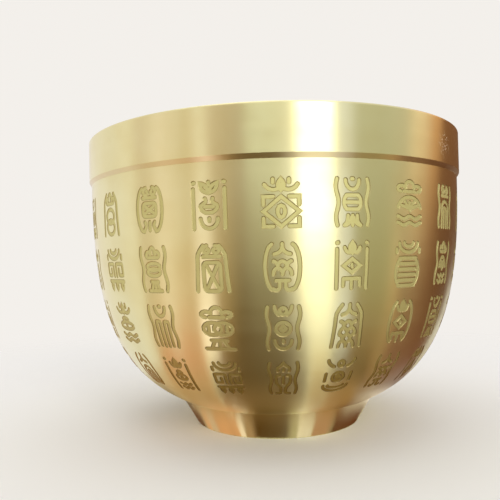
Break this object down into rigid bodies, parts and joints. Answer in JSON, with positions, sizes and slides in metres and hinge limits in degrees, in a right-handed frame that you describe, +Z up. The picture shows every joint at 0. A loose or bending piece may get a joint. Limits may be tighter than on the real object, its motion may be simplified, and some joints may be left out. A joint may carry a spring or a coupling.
{
  "type": "ornamental cup",
  "caption": "Round-bellied brass cup with a plain raised rim band, rows of small matt ornaments etched in its wall, and a short tapered foot ring.",
  "frame": {"origin": "centre of the flat ring that the cup stands on, level with the table", "axes": "+Z up along the cup's own axis; the cup is round, so +X and +Y are free"},
  "size_m": [0.068, 0.068, 0.051],
  "materials": {
    "bowl_brass": "lathe-polished, with matt etched ornaments",
    "band_brass": "lathe-polished",
    "foot_brass": "lathe-polished",
    "braze": "as-flowed, dull"
  },
  "bodies": {
    "root": {"bowl": "bowl_brass", "rim_band": "band_brass", "foot_ring": "foot_brass", "rim_braze": "braze", "foot_braze": "braze"}
  },
  "joints": []
}
